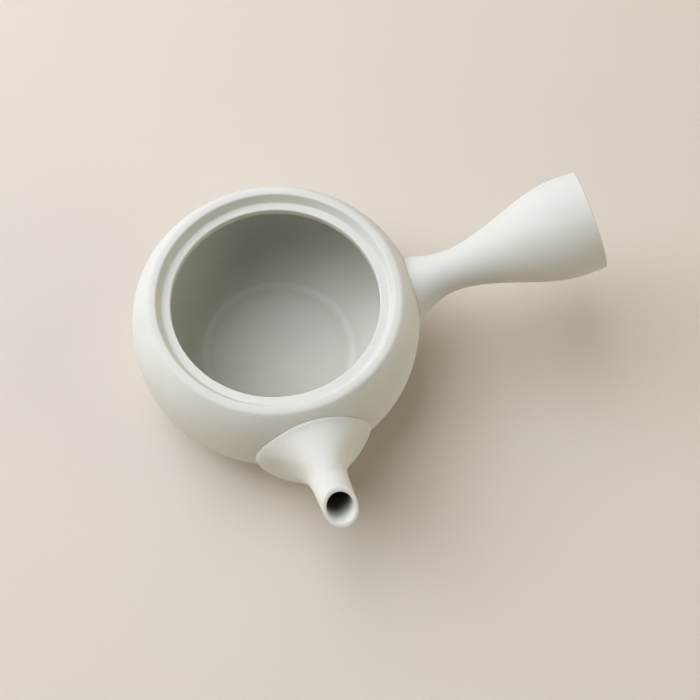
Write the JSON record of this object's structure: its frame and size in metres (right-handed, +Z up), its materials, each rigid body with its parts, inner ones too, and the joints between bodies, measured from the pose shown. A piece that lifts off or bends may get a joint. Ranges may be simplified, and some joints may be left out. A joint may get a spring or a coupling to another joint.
{
  "type": "side-handled teapot",
  "caption": "Open side-handled teapot in matt white clay, with a lid gallery, pierced inner strainer, flared spout and hollow trumpet handle.",
  "frame": {"origin": "centre of the flat base, on the pot's own axis, at table height", "axes": "+Z up along the pot's axis, +X towards the handle, -Y towards the spout"},
  "size_m": [0.1732, 0.138, 0.0741],
  "materials": {
    "clay": "matt, unglazed, fine even grain",
    "inner_clay": "matt, unglazed, fine even grain"
  },
  "bodies": {
    "root": {"pot": "clay", "spout": "clay", "handle": "clay", "strainer": "inner_clay"}
  },
  "joints": []
}
